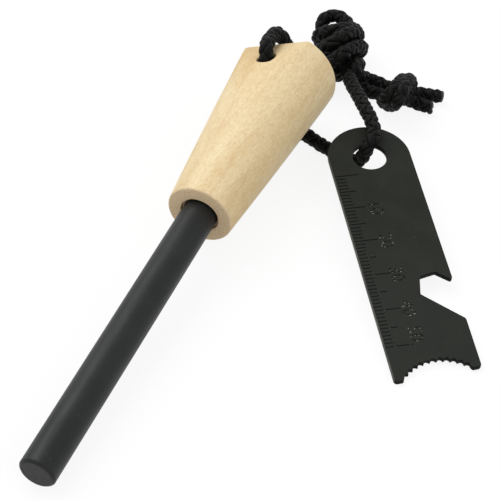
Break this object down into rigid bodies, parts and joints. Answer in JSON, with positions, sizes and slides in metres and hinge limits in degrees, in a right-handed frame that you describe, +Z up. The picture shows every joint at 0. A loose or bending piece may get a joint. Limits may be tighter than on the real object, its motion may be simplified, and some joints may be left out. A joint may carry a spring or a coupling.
{
  "type": "fire starter",
  "caption": "Ferrocerium rod fire starter with a turned wooden handle, a black braided lanyard and a steel scraper with ruler, bottle opener notch and toothed end.",
  "frame": {"origin": "on the table that the part lies on, below the middle of the box round the rod, handle and scraper", "axes": "+Z is up from the table; +Y runs along the handle, from the rod's tip to the butt; +X is the side that the scraper lies on"},
  "size_m": [0.0814, 0.163, 0.0274],
  "materials": {
    "ferrocerium": "near-black satin",
    "adhesive": "cured amber resin",
    "handle_wood": "pale birch, turned and sanded, oiled satin",
    "scraper_steel": "black oxide, satin",
    "cord_braid": "black braided nylon"
  },
  "bodies": {
    "handle": {"ferro_rod": "ferrocerium", "rod_adhesive": "adhesive", "handle": "handle_wood"},
    "lanyard": {"cord_over_butt": "cord_braid", "cord_under_handle": "cord_braid", "cord_scraper_strand": "cord_braid", "main_knot": "cord_braid", "cord_tail_1": "cord_braid", "cord_tail_2": "cord_braid", "stopper_knot": "cord_braid", "cord_end_1": "cord_braid", "cord_end_2": "cord_braid"},
    "scraper": {"scraper": "scraper_steel"}
  },
  "joints": [
    {"name": "lanyard_swing", "type": "hinge", "parent": "handle", "child": "lanyard", "pos_m": [-0.02928, 0.05392, 0.0166], "axis": [0, 0, 1], "range_deg": [-5, 8]},
    {"name": "scraper_turn", "type": "hinge", "parent": "lanyard", "child": "scraper", "pos_m": [-0.00248, 0.04927, 0.00733], "axis": [0.0591, -0.0862, 0.9945], "range_deg": [-30, 90]}
  ]
}
